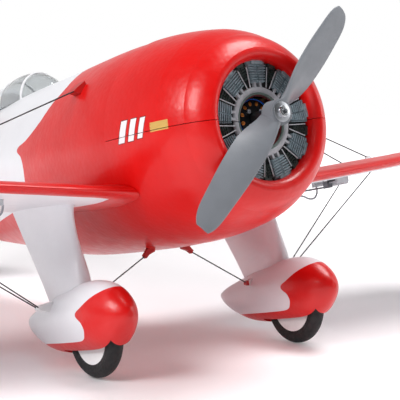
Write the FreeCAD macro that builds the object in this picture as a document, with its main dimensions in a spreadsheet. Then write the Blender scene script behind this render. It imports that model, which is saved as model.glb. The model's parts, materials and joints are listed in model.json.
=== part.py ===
"""Parametric model of a foam radio controlled racing monoplane with a barrel fuselage.

Every piece is laid out in the flight frame: millimetres, origin at the centre of the cowl's
opening, nose towards -Y, left wing towards +X, +Z up from the thrust line.  STAND then sits
the model on its three wheels, tail down, with z = 0 on the ground under the middle of its box.
"""
import FreeCAD
import Part
import Sketcher
import math
import os
from FreeCAD import Placement, Rotation, Vector

SIZES = """
span             500   wing span over the tips
cowl_lip         26    radius of the cowl's opening
cowl_brow        31    radius of the cowl's foremost ring
cowl_brow_y      -2    how far that ring stands ahead of the opening
cowl_cheek       38.6  radius where the brow turns into the side
cowl_cheek_y     7
cowl_mid         43.9  radius a fifth of the way along the model's nose
cowl_mid_y       20
cowl_back        48.3  radius at the cowl's back edge
cowl_depth       54    opening to back edge
cowl_wall        4.3   foam thickness at the back edge
face_y           5     front of the printed engine face
face_thick       1.2
face_hole        15    hole for the motor in the engine face
seam             0.3   gap between parts that come apart
skin             4     foam thickness of the fuselage
tail_end         329   rudder post
thrust_up        1.8   motor axis above the opening's centre
motor_case       9     radius of the motor's bell
motor_front      8
motor_back       21
shaft            1     radius of the motor shaft
prop_radius      64.8
prop_y           -6.7  middle of the propeller hub
prop_hub         5.6
prop_hub_long    6.5
prop_turn        45.6  angle of the blades above the wing at rest
prop_pitch       70    advance in one turn
firewall_y       26
firewall_thick   2
battery_long     45
battery_wide     20
battery_high     12
battery_y        56
tray_thick       1.6
wing_front       42.5  leading edge
wing_chord       86
wing_thick       7.4
wing_root_x      40
wing_root_z      -24
dihedral         5.3
spar             1.5   radius of the carbon spar
spar_y           70
aileron_start    92    distance of the aileron's inner end from the middle
aileron_end      204
aileron_chord    17
hinge_gap        1.0
elevator_arm     8     hinge axis to pushrod hole on the elevator
horn_thick       1.2
rod              0.5   radius of the pushrods
stab_front       286
stab_back        319.5
stab_half        78
stab_z           12
stab_thick       3
elevator_back    345
rudder_axis_y    331
rudder_thick     3.2
rudder_low       -16
rudder_high      82
fin_front        268
fin_thick        3
servo_front      62    front of the aileron servos
servo_x          100   their distance from the middle
link_x           9     tail pushrods from the middle
track_half       58.1  wheel centre from the middle
wheel_y          62.9
wheel_radius     19
wheel_half       3.9   half the tyre's width
rim_radius       13
axle             1     radius of the axle wire
axle_play        0.05
well_radius      20.9  wheel space inside the spat
well_half        5.4
tail_wheel_r     7.5
tail_wheel_half  2
tail_wheel_y     337
lead             0.5   radius of a servo lead
wire             0.3   radius of the bracing wires
canopy_y         205   middle of the canopy
canopy_z         44
canopy_wide      14
canopy_long      32
canopy_high      17
canopy_wall      0.8
pitch_up         10.785  tail-down attitude on the ground
ground_drop      112.33  opening's centre above the ground
ground_ahead     174.183   opening's centre ahead of the middle of the standing model
"""

# Fuselage sections: distance aft, top, bottom and half width.
FUSELAGE = [(54.3, 47.7, 47.7, 47.7), (63, 48.5, 48.5, 48.5), (85, 48.8, 48.8, 48.8),
            (115, 48.2, 48.4, 47.4), (150, 48.2, 46.5, 43), (190, 48.2, 40.5, 35),
            (230, 46, 34.5, 26), (270, 41, 28, 16.5), (305, 34, 22, 8.5), (329, 28, 17.5, 2.8)]
# Deck that fairs the canopy into the fin, in the same terms; its bottom lies inside the barrel.
DECK = [(228, 58.5, -20, 12), (250, 58.5, -20, 9.5), (280, 56, -20, 6), (329, 50, -20, 2.6)]
# Spat sections: distance aft, top, bottom and half width.
SPAT = [(33, 73.6, 76.4, 1.2), (34, 71, 79, 3.4), (36.5, 67.8, 82.4, 6), (40.5, 64.2, 86.4, 8.4),
        (46, 61.4, 89.6, 10.3), (54, 59.8, 90.8, 11.5), (66, 60.2, 91.2, 11.5), (79, 62.2, 91.2, 10.8),
        (92, 65.4, 90.2, 9), (106, 69.2, 86.6, 6.2), (116, 72.2, 81.8, 3.6), (121.5, 74.6, 77.6, 1)]

ROWS = "abcdefghijklm"

doc = FreeCAD.newDocument("Racer")
sheet = doc.addObject("Spreadsheet::Sheet", "Sizes")
PARTS = {}


class Size:
    """A number together with the spreadsheet expression that gives it."""

    def __init__(self, value, text):
        self.value = float(value)
        self.text = text

    def join(self, other, sign, value):
        text = other.text if isinstance(other, Size) else repr(other)
        return Size(value, "(" + self.text + sign + text + ")")

    def __add__(self, other):
        return self.join(other, " + ", self.value + number(other))

    def __sub__(self, other):
        return self.join(other, " - ", self.value - number(other))

    def __mul__(self, other):
        return self.join(other, " * ", self.value * number(other))

    def __truediv__(self, other):
        return self.join(other, " / ", self.value / number(other))

    def __neg__(self):
        return Size(-self.value, "(-1 * " + self.text + ")")


def number(item):
    return item.value if isinstance(item, Size) else float(item)


def fill_sheet():
    """Writes one row per size: its name, its number and what it is."""
    rows = [line.split(None, 2) for line in SIZES.strip().splitlines()]
    for table, name in ((FUSELAGE, "hull"), (DECK, "deck"), (SPAT, "spat")):
        for row, values in enumerate(table):
            rows += [["%s%s_%s" % (name, ROWS[row], column), str(value)]
                     for column, value in zip(("aft", "top", "low", "wide"), values)]
    sizes = {}
    for line, row in enumerate(rows, 1):
        sheet.set("A%d" % line, row[0])
        sheet.set("B%d" % line, row[1])
        sheet.set("C%d" % line, row[2] if len(row) > 2 else "")
        sheet.setAlias("B%d" % line, row[0])
        sizes[row[0]] = Size(row[1], "Sizes." + row[0])
    doc.recompute()
    return sizes


S = fill_sheet()


def val(name):
    return S[name].value


# Values that follow from the sizes.
ELEVATOR_Y = val("stab_back") + val("hinge_gap")
LINK_X = val("link_x")
ROD_Z = val("stab_z") - val("elevator_arm")
WING_CAMBER = 1.2
SPAR_UP = 0.9
SPAR_Z = val("wing_root_z") + SPAR_UP
TILT = math.radians(val("dihedral"))
WING_SPAN_OUT = (val("span") / 2 - val("wing_root_x")) / math.cos(TILT)
WING_ROUND_FROM = (val("aileron_end") - val("wing_root_x")) / math.cos(TILT) + 3
HINGE_Y = val("wing_front") + val("wing_chord") - val("aileron_chord")
HINGE_UP = 0.7
SERVO_BASE = -1.4
HINGE_ARM = HINGE_UP - SERVO_BASE + 4.9
PITCH = math.radians(val("pitch_up"))
TAIL_WHEEL_Z = (val("tail_wheel_r") - val("ground_drop")
                + val("tail_wheel_y") * math.sin(PITCH)) / math.cos(PITCH)
WHEEL_Z = (val("wheel_radius") - val("ground_drop")
           + val("wheel_y") * math.sin(PITCH)) / math.cos(PITCH)
TAIL_FORK = [(0, 341, -8), (0, 340, -26), (3.4, 338.5, -31), (3.4, val("tail_wheel_y"), TAIL_WHEEL_Z),
             (-3, val("tail_wheel_y"), TAIL_WHEEL_Z)]
WIRE_AFT = (84, 104)   # where the two pairs of bracing wires meet the wing
# Leg sections from the top down: height, leading edge, chord and thickness.
LEG = [(-22.4, 72, 56, 13), (-27, 72.2, 53, 9), (-45, 69.2, 44.5, 8.4), (-70, 65, 34, 7.5)]
# Route of the left servo lead in the wing's frame: out from the root, aft, up.
LEAD = [(44.2, 86, 1.2), (44.2, 86, -3.2), (45.2, 86.2, -6.6), (48.6, 86.5, -8.3), (52.4, 86.3, -8.7),
        (55.9, 86.1, -11.0), (59.9, 85.9, -11.4), (62.4, 85.4, -8.2), (61.4, 84.8, -4.6), (60, 82, -3.6)]


def bind(obj, **properties):
    """Ties properties of an object to sizes; plain numbers are set as they are."""
    for name, item in properties.items():
        if isinstance(item, Size):
            obj.setExpression(name, item.text)
        else:
            setattr(obj, name, item)
    return obj


# Turns the flight frame tail down and sets the middle of the model's box over the origin.
STAND = Placement(Vector(0, -val("ground_ahead"), val("ground_drop")),
                  Rotation(Vector(1, 0, 0), -val("pitch_up")))


def sub_part(label, obj):
    """Registers a finished sub-part under its own label and stands it on the ground."""
    obj.Label = label
    obj.Placement = STAND.multiply(obj.Placement)
    PARTS[label] = obj
    return obj


# ---------------------------------------------------------------- plain building blocks

def cylinder(name, radius, length, base, along=(0, 0, 1)):
    obj = doc.addObject("Part::Cylinder", name)
    obj.Placement = Placement(Vector(*map(number, base)), Rotation(Vector(0, 0, 1), Vector(*along)))
    return bind(obj, Radius=radius, Height=length)


def box(name, low, high):
    low = [number(item) for item in low]
    obj = doc.addObject("Part::Box", name)
    obj.Placement = Placement(Vector(*low), Rotation())
    obj.Length, obj.Width, obj.Height = [number(top) - base for base, top in zip(low, high)]
    return obj


def ball(name, radius, centre):
    obj = doc.addObject("Part::Sphere", name)
    obj.Placement = Placement(Vector(*map(number, centre)), Rotation())
    return bind(obj, Radius=radius)


def rod(name, points, radius):
    """A bent wire: straight lengths with a ball at each bend."""
    pieces = []
    for start, end in zip(points, points[1:]):
        way = Vector(*end) - Vector(*start)
        pieces.append(cylinder(name + "_run", radius, way.Length, start, tuple(way)))
    pieces += [ball(name + "_bend", radius, point) for point in points[1:-1]]
    return fuse(name, pieces) if len(pieces) > 1 else pieces[0]


def fuse(name, pieces):
    obj = doc.addObject("Part::MultiFuse", name)
    obj.Shapes = pieces
    obj.Refine = True
    return obj


def cut(name, base, *tools):
    """Takes each tool away in turn."""
    for tool in tools:
        obj = doc.addObject("Part::Cut", name)
        obj.Base, obj.Tool = base, tool
        base = obj
    return base


def common(name, *pieces):
    obj = doc.addObject("Part::MultiCommon", name)
    obj.Shapes = list(pieces)
    return obj


def group(name, pieces):
    obj = doc.addObject("Part::Compound", name)
    obj.Links = pieces
    return obj


def feature(name, shape):
    obj = doc.addObject("Part::Feature", name)
    obj.Shape = shape
    return obj


# An ellipse whose long axis points up and whose normal points aft.
UPRIGHT = Rotation(Vector(0, 0, 1), Vector(1, 0, 0), Vector(0, 1, 0), "XYZ")


def sections(name, prefix, table, centre_x=0.0, inset=0.0, upside=1.0):
    """Loft through upright ellipses whose top, bottom and half width come from the sheet."""
    rings = []
    for row in range(len(table)):
        key = "%s%s_" % (prefix, ROWS[row])
        top, low, wide = S[key + "top"], S[key + "low"], S[key + "wide"]
        ring = doc.addObject("Part::Ellipse", name + "_ring")
        tall = (top + low) / 2 if upside > 0 else (low - top) / 2
        middle = (top - low) / 2 if upside > 0 else -(top + low) / 2
        ring.Placement = Placement(Vector(centre_x, val(key + "aft"), middle.value), UPRIGHT)
        ring.setExpression("Placement.Base.y", S[key + "aft"].text)
        ring.setExpression("Placement.Base.z", middle.text)
        bind(ring, MajorRadius=tall - inset, MinorRadius=wide - inset)
        rings.append(ring)
    loft = doc.addObject("Part::Loft", name)
    loft.Sections = rings
    loft.Solid = True
    return loft


def sketch_on(body, plane, name):
    sketch = body.newObject("Sketcher::SketchObject", name)
    origin = [item for item in body.Origin.OriginFeatures if item.Role == plane]
    sketch.AttachmentSupport = [(origin[0], "")]
    sketch.MapMode = "FlatFace"
    return sketch


def outline(sketch, points):
    """Closed outline of straight lines, or arcs where a point carries a bulge.

    Each point is (across, up) or (across, up, bulge): the bulge is how far the arc that starts
    there stands to the right of its chord.  Every corner is held by two dimensions.
    """
    corners = [Vector(number(point[0]), number(point[1]), 0) for point in points]
    for index, point in enumerate(points):
        start, end = corners[index], corners[(index + 1) % len(points)]
        if len(point) > 2:
            way = end - start
            side = Vector(way.y, -way.x, 0).normalize() * point[2]
            middle = (start + end) * 0.5 + side
            sketch.addGeometry(Part.Arc(start, middle, end), False)
        else:
            sketch.addGeometry(Part.LineSegment(start, end), False)
    return corners


def spun(label, plane_points, centre_z=0.0, angle=360.0):
    """Solid of revolution about the flight frame's Y axis, from (radius, aft) points."""
    body = doc.addObject("PartDesign::Body", label)
    sketch = sketch_on(body, "XY_Plane", label + "_outline")
    points = [(number(item[0]), number(item[1])) + tuple(item[2:]) for item in plane_points]
    outline(sketch, points)
    hold(sketch, plane_points)
    turn = body.newObject("PartDesign::Revolution", label + "_turn")
    turn.Profile = sketch
    turn.ReferenceAxis = (sketch, ["V_Axis"])
    turn.Angle = angle
    body.Placement = Placement(Vector(0, 0, number(centre_z)), Rotation())
    return body


def hold(sketch, points):
    """Joins the outline's edges end to end and ties each corner to its two sizes."""
    count = len(points)
    arcs = [len(point) > 2 for point in points]
    ends = []
    for index in range(count):
        geometry = sketch.Geometry[index]
        start = Vector(number(points[index][0]), number(points[index][1]), 0)
        forward = (geometry.StartPoint - start).Length < 1e-6
        ends.append((1, 2) if forward else (2, 1))
    for index in range(count):
        after = (index + 1) % count
        sketch.addConstraint(Sketcher.Constraint("Coincident", index, ends[index][1],
                                                 after, ends[after][0]))
    for index, point in enumerate(points):
        for kind, item in (("DistanceX", point[0]), ("DistanceY", point[1])):
            if abs(number(item)) < 1e-9:
                axis = -2 if kind == "DistanceX" else -1
                sketch.addConstraint(Sketcher.Constraint("PointOnObject", index, ends[index][0], axis))
                continue
            row = sketch.addConstraint(Sketcher.Constraint(kind, -1, 1, index, ends[index][0],
                                                           number(item)))
            if isinstance(item, Size):
                sketch.setExpression("Constraints[%d]" % row, item.text)
        if arcs[index]:
            row = sketch.addConstraint(Sketcher.Constraint("Radius", index,
                                                           sketch.Geometry[index].Radius))


def plate(label, plane, points, thickness, middle=0.0):
    """Flat piece: an outline on one of the body's planes, padded equally to both sides."""
    body = doc.addObject("PartDesign::Body", label)
    sketch = sketch_on(body, plane, label + "_outline")
    outline(sketch, points)
    hold(sketch, points)
    pad = body.newObject("PartDesign::Pad", label + "_pad")
    pad.Profile = sketch
    pad.SideType = "Symmetric"
    bind(pad, Length=thickness)
    shift = {"YZ_Plane": (1, 0, 0), "XZ_Plane": (0, 1, 0), "XY_Plane": (0, 0, 1)}[plane]
    body.Placement = Placement(Vector(*shift) * number(middle), Rotation())
    return body


def foil(chord, thickness, camber=0.0, tail=0.4, steps=12):
    """Aerofoil as (aft, up) points from the top of the tail round the nose to its underside."""
    spread = [0.5 * (1 - math.cos(math.pi * step / steps)) for step in range(steps + 1)]

    def half(part):
        return tail * part + 5 * thickness * (0.2969 * math.sqrt(part) - 0.1260 * part
                                              - 0.3516 * part ** 2 + 0.2843 * part ** 3
                                              - 0.1036 * part ** 4)

    def bend(part):
        return 4 * camber * part * (1 - part)

    top = [(part * chord, bend(part) + half(part)) for part in reversed(spread)]
    under = [(part * chord, bend(part) - half(part)) for part in spread[1:]]
    return top + under


def ring(points):
    """Closed wire: one smooth curve through the points, and a straight blunt tail."""
    points = [Vector(*point) for point in points]
    curve = Part.BSplineCurve()
    curve.interpolate(points)
    return Part.Wire([curve.toShape(), Part.LineSegment(points[-1], points[0]).toShape()])


def loft(wires, ruled=False):
    return Part.makeLoft(wires, True, ruled)


# ---------------------------------------------------------------- fuselage and cowl

def hull_solids():
    """Outer solid of the fuselage with its deck, and the space inside it."""
    barrel = sections("barrel", "hull", FUSELAGE)
    deck = sections("deck", "deck", DECK)
    outer = fuse("hull_outer", [barrel, deck])
    half = val("fin_thick") / 2 + 0.05
    fin_slot = box("fin_slot", (-half, val("fin_front") - val("seam"), 36), (half, 330, 60))
    slotted = fuse("hull_slotted", [sections("barrel", "hull", FUSELAGE),
                                    cut("deck_slotted", sections("deck", "deck", DECK), fin_slot)])
    inner = sections("hull_space", "hull", FUSELAGE[:8], inset=val("skin"))
    return outer, slotted, inner


def fuselage(outer, inner):
    """Two moulded foam shells that meet on the centre line."""
    cockpit = box("cockpit_hole", (-10.5, 182, 34), (10.5, 225, 75))
    spar_hole = cylinder("spar_hole", S["spar"] + 0.02, 120, (-60, S["spar_y"], SPAR_Z), (1, 0, 0))
    stab_slot = box("stab_slot", (-20, val("stab_front"), val("stab_z") - val("stab_thick") / 2),
                    (20, val("stab_back"), val("stab_z") + val("stab_thick") / 2))
    joiner_hole = cylinder("joiner_hole", 1.6, 40, (-20, ELEVATOR_Y, S["stab_z"]), (1, 0, 0))
    exits = [cylinder("rod_exit", 1.3, 100, (side * LINK_X, 236, ROD_Z), (0, 1, 0))
             for side in (1, -1)]
    shell = cut("hull_shell", outer, inner, cockpit, spar_hole, stab_slot, joiner_hole, *exits)
    right_of_middle = box("hull_side", (-90, 40, -90), (0, 340, 90))
    sub_part("fuselage_left", cut("fuselage_left_shell", shell, right_of_middle))
    other = doc.addObject("Part::Mirroring", "fuselage_right_shell")
    other.Source = cut("fuselage_half", shell, right_of_middle)
    other.Normal = Vector(1, 0, 0)
    doc.recompute()
    sub_part("fuselage_right", other)


def cowl_outline():
    """Wall of the cowl as (radius, aft) corners from the back edge's outside to its inside."""
    back, mid, cheek = S["cowl_back"], S["cowl_mid"], S["cowl_cheek"]
    return [(back, S["cowl_depth"]), (back - S["cowl_wall"], S["cowl_depth"]),
            (mid - 3.4, S["cowl_mid_y"]), (cheek - 3.6, 9.5), (S["cowl_lip"], 9.5),
            (S["cowl_lip"], 1.5, 1.6), (S["cowl_brow"], S["cowl_brow_y"], 1.1),
            (cheek, S["cowl_cheek_y"], 0.5), (mid, S["cowl_mid_y"], 0.7)]


def cowl():
    """Lower half fixed to the fuselage, upper half a lift-off hatch, magnets between them."""
    for label, flip, lift in (("cowl_lower", -1, 0), ("hatch", 1, val("seam"))):
        body = spun(label + "_wall", cowl_outline(), 0, 180)
        face = cylinder(label + "_face", S["cowl_lip"], S["face_thick"],
                        (0, S["face_y"], lift), (0, 1, 0))
        hole = cylinder(label + "_hole", S["face_hole"], 20, (0, -5, lift), (0, 1, 0))
        block = box(label + "_half", (-60, -20, min(lift, flip * 60)), (60, 60, max(lift, flip * 60)))
        plate_name = "engine_face_upper" if flip > 0 else "engine_face_lower"
        sub_part(plate_name, common(plate_name, cut(plate_name + "_ring", face, hole), block))
        pockets, slugs = [], []
        for side in (1, -1):
            base = (side * 45.4, 46, lift + (0.2 if flip > 0 else -1.7))
            pockets.append(cylinder("magnet_pocket", 1.3, 1.5, base))
            slugs.append(cylinder("magnet", 1.25, 1.5, base))
        shell = turned_over(body, lift) if flip > 0 else body
        sub_part(label, cut(label + "_shell", shell, *pockets))
        sub_part("hatch_magnets" if flip > 0 else "cowl_magnets", group(label + "_magnets", slugs))


def turned_over(body, lift):
    """Turns a lower half about the Y axis so that it becomes the upper half."""
    body.Placement = Placement(Vector(0, 0, lift), Rotation(Vector(0, 1, 0), 180))
    return body


# ---------------------------------------------------------------- power

def motor():
    up = S["thrust_up"]
    shaft, case = S["shaft"], S["motor_case"]
    front, back = S["motor_front"], S["motor_back"]
    hub_front = S["prop_y"] - S["prop_hub_long"] / 2
    hub_back = S["prop_y"] + S["prop_hub_long"] / 2
    zero = Size(0, "0")
    bell = [(zero, hub_front), (shaft, hub_front), (shaft, front), (case - 1.2, front),
            (case, front + 1.2), (case, back - 0.3), (case - 1, back - 0.3), (case - 1, front + 1.6),
            (shaft, front + 1.6), (shaft, back + 1), (zero, back + 1)]
    sub_part("motor_bell", spun("bell", bell, up))
    core = [(shaft + 0.05, front + 2.2), (case - 1.5, front + 2.2), (case - 1.5, back - 0.4),
            (case - 0.4, back), (case - 0.4, back + 1.2), (shaft + 0.05, back + 1.2)]
    sub_part("motor_stator", spun("stator", core, up))
    firewall_front = S["firewall_y"] - S["firewall_thick"] / 2
    mount = [(shaft + 1.6, back + 1.2), (case - 1, back + 1.2), (case + 2, firewall_front),
             (shaft + 1.6, firewall_front)]
    sub_part("motor_mount", spun("mount", mount, up))
    collet = [(shaft + 0.02, hub_back), (shaft + 3.2, hub_back), (shaft + 3.2, hub_back + 2),
              (shaft + 1.8, hub_back + 3.5), (shaft + 1.8, front - 0.4), (shaft + 0.02, front - 0.4)]
    sub_part("prop_adapter", spun("adapter", collet, up))
    screw = [(zero, hub_front - 2), (shaft + 1.1, hub_front - 2), (shaft + 1.6, hub_front - 1.5),
             (shaft + 1.6, hub_front), (zero, hub_front)]
    sub_part("prop_screw", spun("screw", screw, up))


def blade():
    """One blade along +X, its leading edge towards +Z and forward, twisted for the pitch."""
    tip = val("prop_radius")
    wires = []
    for part, chord, thick in ((0.06, 9.6, 4), (0.17, 12.8, 3), (0.3, 14.8, 2.3), (0.45, 15.2, 1.8),
                               (0.62, 14.4, 1.5), (0.8, 12.8, 1.2), (0.93, 10.6, 1), (1, 6, 0.8)):
        radius = part * tip
        twist = math.atan(val("prop_pitch") / (2 * math.pi * max(radius, 11)))
        ahead, rise = math.sin(twist), math.cos(twist)
        points = [(radius,
                   -(0.42 * chord - aft) * ahead - up * rise,
                   (0.42 * chord - aft) * rise - up * ahead)
                  for aft, up in foil(chord, thick, 0.35, 0.2, 8)]
        wires.append(ring(points))
    return loft(wires)


def propeller():
    up = S["thrust_up"]
    blades = []
    for turn in (0, 180):
        shape = blade()
        obj = feature("blade", shape)
        angle = turn - val("prop_turn")
        obj.Placement = Placement(Vector(0, val("prop_y"), up.value), Rotation(Vector(0, 1, 0), angle))
        blades.append(obj)
    long = S["prop_hub_long"]
    hub = cylinder("hub", S["prop_hub"], long, (0, S["prop_y"] - long / 2, up), (0, 1, 0))
    bore = cylinder("hub_bore", S["shaft"] + 0.02, 30, (0, -25, up), (0, 1, 0))
    sub_part("propeller", cut("propeller_blades", fuse("blades_and_hub", blades + [hub]), bore))


def firewall():
    """Plywood bulkhead: a half disc in the lower cowl with a tongue up behind the motor."""
    wide = 41
    points = [(-wide, -1, wide - 1), (wide, -1), (22, -1), (22, 14), (-22, 14), (-22, -1)]
    plate_body = plate("firewall_ply", "XZ_Plane", points, S["firewall_thick"], S["firewall_y"])
    hole = cylinder("wire_hole", 4, 10, (12, S["firewall_y"] - 5, -14), (0, 1, 0))
    sub_part("firewall", cut("firewall_sheet", plate_body, hole))


def equipment():
    """What the fuselage holds: battery on its tray with a strap, and the control board."""
    front, long = val("battery_y"), val("battery_long")
    half, tall = val("battery_wide") / 2, val("battery_high")
    low = -6.0
    pack = box("pack", (-half, front, low), (half, front + long, low + tall))
    rounded = doc.addObject("Part::Fillet", "pack_round")
    rounded.Base = pack
    rounded.Edges = [(edge, 2.0, 2.0) for edge in (2, 4, 6, 8)]
    sub_part("battery", rounded)
    thick = val("tray_thick")
    tray = box("tray_floor", (-half - 2, front - 7, low - thick), (half + 2, front + long + 4, low))
    posts = [box("tray_rib", (side * 8 - 1, front - 1, -42.6),
                 (side * 8 + 1, front + long + 4, low - thick)) for side in (1, -1)]
    spar_gap = cylinder("tray_spar_gap", S["spar"] + S["seam"], 30, (-15, S["spar_y"], SPAR_Z), (1, 0, 0))
    strap_y, wide = front + 14, 12
    loop = box("strap_out", (-half - 3.4, strap_y, low - thick - 1.2),
               (half + 3.4, strap_y + wide, low + tall + 1.2))
    gap = box("strap_in", (-half - 2.4, strap_y - 1, low - thick - 0.2),
              (half + 2.4, strap_y + wide + 1, low + tall + 0.2))
    slot = box("strap_slot", (-half - 3, strap_y - 0.5, low - thick - 1.5),
               (half + 3, strap_y + wide + 0.5, low - thick))
    sub_part("battery_tray", cut("tray_notched", fuse("tray", [tray] + posts), slot, spar_gap))
    sub_part("battery_strap", cut("strap", loop, gap))
    board = box("board_sheet", (-16, 106, ROD_Z - 4.9 - 1.2), (16, 156, ROD_Z - 4.9))
    parts = [box("board_chip", (-13, 109, ROD_Z - 4.9), (-3, 119, ROD_Z - 3.4)),
             box("board_plug", (2, 107, ROD_Z - 4.9), (12, 113, ROD_Z - 0.4))]
    legs = [box("board_foot", (side * 11 - 1.5, 122, -40.6), (side * 11 + 1.5, 140, ROD_Z - 6.1))
            for side in (1, -1)]
    sub_part("control_board", fuse("board", [board] + parts + legs))


# ---------------------------------------------------------------- servos, rods and horns

def servo(label, centre_x, front, base, way, side=1):
    """Open linear servo: a base, two end walls, a motor and the screw its slider rides on."""
    back = front + 20

    def block(low, high):
        low = (low[0] + centre_x, low[1], base + way * low[2])
        high = (high[0] + centre_x, high[1], base + way * high[2])
        return box("servo_block", tuple(map(min, low, high)), tuple(map(max, low, high)))

    pieces = [block((-4, front, 0), (4, back, 1.4)), block((-4, front, 1.4), (4, front + 1.6, 4)),
              block((-4, back - 1.6, 1.4), (4, back, 4))]
    pieces.append(cylinder("servo_motor", 1.9, 13, (centre_x + 2 * side, front, base + way * 3.2),
                           (0, 1, 0)))
    pieces.append(cylinder("servo_screw", 0.4, 19, (centre_x - 2 * side, front + 0.5, base + way * 2.8),
                           (0, 1, 0)))
    return fuse(label + "_servo", pieces)


def link(label, centre_x, front, base, way, pin_y, side=1):
    """Slider on the servo's screw, with the pushrod to the horn and its bent end."""
    slide_x, rod_z = centre_x - 2 * side, base + way * 4.9
    low = (slide_x - 1.6, front + 8.2, base + way * 1.7)
    high = (slide_x + 1.6, front + 11.8, base + way * 5.6)
    slider = box("slider", tuple(map(min, low, high)), tuple(map(max, low, high)))
    bore = cylinder("slider_bore", 0.46, 6, (slide_x, front + 7, base + way * 2.8), (0, 1, 0))
    wire = rod("link_rod", [(slide_x, front + 9, rod_z), (slide_x, pin_y, rod_z),
                            (slide_x + 3.2 * side, pin_y, rod_z)], S["rod"])
    return fuse(label + "_link", [cut("slider_block", slider, bore), wire])


def horn(label, arm, thick, half_thickness):
    """Control horn seen along the hinge: hinge at (0, 0), its slotted hole one arm below."""
    root = half_thickness
    points = [(0.9, -root), (4.6, -root), (4.6, -root - 0.8), (1.9, -arm + 1.6),
              (1.6, -arm - 2.6), (-1.6, -arm - 2.6), (-1.6, -arm + 1.4), (0.9, -root - 1.5)]
    body = plate(label + "_plate", "YZ_Plane", points, thick)
    slot = box("horn_slot", (-5, -0.8, -arm * 1.1 - 0.65), (5, 0.8, -arm + 0.65))
    return cut(label + "_horn", body, slot)


# ---------------------------------------------------------------- wings

def wing_frame(side):
    """Local frame of one wing: origin at its root, X along the span, tilted by the dihedral."""
    return Placement(Vector(side * val("wing_root_x"), 0, val("wing_root_z")),
                     Rotation(Vector(0, 1, 0), -side * val("dihedral")))


def wing_section(side, out, scale=1.0, plump=1.0):
    chord = val("wing_chord") * scale
    front = val("wing_front") + 0.38 * (val("wing_chord") - chord)
    return ring([(side * out, front + aft, up) for aft, up in
                 foil(chord, val("wing_thick") * scale * plump, WING_CAMBER * scale)])


def wing_solid(side):
    """Whole wing before the aileron is taken out: root fillet, straight panel and round tip."""
    straight, tip = WING_ROUND_FROM, WING_SPAN_OUT
    root = loft([wing_section(side, out, 1, plump)
                 for out, plump in ((0, 1.4), (6, 1.24), (13, 1.08), (24, 1))])
    panel = loft([wing_section(side, out) for out in (24, straight)], True)
    stations = [straight + (tip - straight) * part for part in (0, 0.3, 0.55, 0.75, 0.88, 0.96, 0.995)]
    rounding = loft([wing_section(side, out, math.sqrt(1 - ((out - straight) / (tip - straight)) ** 2.4))
                     for out in stations])
    return root.fuse([panel, rounding])


def aileron_ends(side):
    start, end = [(val(key) - val("wing_root_x")) / math.cos(math.radians(val("dihedral")))
                  for key in ("aileron_start", "aileron_end")]
    return side * start, side * end


def in_wing(side, obj):
    obj.Placement = wing_frame(side).multiply(obj.Placement)
    return obj


def span_box(name, side, ends, front, back, deep=20):
    low, high = min(ends), max(ends)
    return in_wing(side, box(name, (low, front, -deep), (high, back, deep)))


def wings(hull):
    solids = {}
    servo_y, servo_x = val("servo_front"), val("servo_x") - val("wing_root_x")
    for side, word in ((1, "left"), (-1, "right")):
        solid = in_wing(side, feature("wing_" + word + "_solid", wing_solid(side)))
        solids[side] = solid
        start, end = aileron_ends(side)
        gap = 0.4 * side
        bay = span_box("aileron_bay", side, (start - gap, end + gap), HINGE_Y - val("hinge_gap"), 160)
        keep = span_box("aileron_room", side, (start, end), HINGE_Y, 160)
        centre = side * servo_x
        pocket = in_wing(side, box("servo_pocket", (centre - 4.3, servo_y - 0.3, -9),
                                   (centre + 4.3, servo_y + 20.3, SERVO_BASE + 0.1)))
        bore = in_wing(side, cylinder("spar_bore", S["spar"] + 0.02, 150,
                                      (side * -1, S["spar_y"], SPAR_UP), (side, 0, 0)))
        exit_hole = in_wing(side, cylinder("lead_hole", 0.9, 7.6, (side * LEAD[0][0], LEAD[0][1], -6)))
        cowl_room = doc.addObject("Part::Cone", "cowl_room")
        cowl_room.Placement = Placement(Vector(0, 38, 0), Rotation(Vector(0, 0, 1), Vector(0, 1, 0)))
        bind(cowl_room, Radius1=S["cowl_back"] - 0.9, Radius2=S["cowl_back"] + S["seam"], Height=16.4)
        sub_part("wing_" + word, cut("wing_" + word + "_panel", solid, hull, cowl_room, bay, pocket,
                                     bore, exit_hole))
        sub_part("aileron_" + word, common("aileron_" + word + "_flap", solid, keep))
        servo_piece = in_wing(side, servo("aileron_" + word, centre, servo_y, SERVO_BASE, -1, side))
        sub_part("aileron_servo_" + word, servo_piece)
        rod_piece = in_wing(side, link("aileron_" + word, centre, servo_y, SERVO_BASE, -1,
                                       HINGE_Y, side))
        sub_part("aileron_pushrod_" + word, rod_piece)
        lug = horn("aileron_" + word, HINGE_ARM, val("horn_thick"), 1.95)
        lug.Placement = Placement(Vector(centre, HINGE_Y, HINGE_UP), Rotation())
        sub_part("aileron_horn_" + word, in_wing(side, lug))
    return solids


def spar():
    """Carbon rod through both wings and the fuselage, bent at the roots to the dihedral."""
    reach = 140
    angle = math.radians(val("dihedral"))
    points = []
    for side in (1, -1):
        outer = (side * (val("wing_root_x") + reach * math.cos(angle) - SPAR_UP * math.sin(angle)),
                 val("spar_y"), val("wing_root_z") + reach * math.sin(angle) + SPAR_UP * math.cos(angle))
        points = [outer] + points if side > 0 else points + [outer]
    bend = val("wing_root_x") - 0.5
    points = [points[0], (bend, val("spar_y"), SPAR_Z), (-bend, val("spar_y"), SPAR_Z), points[1]]
    sub_part("wing_spar", rod("spar", points, S["spar"]))


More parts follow.
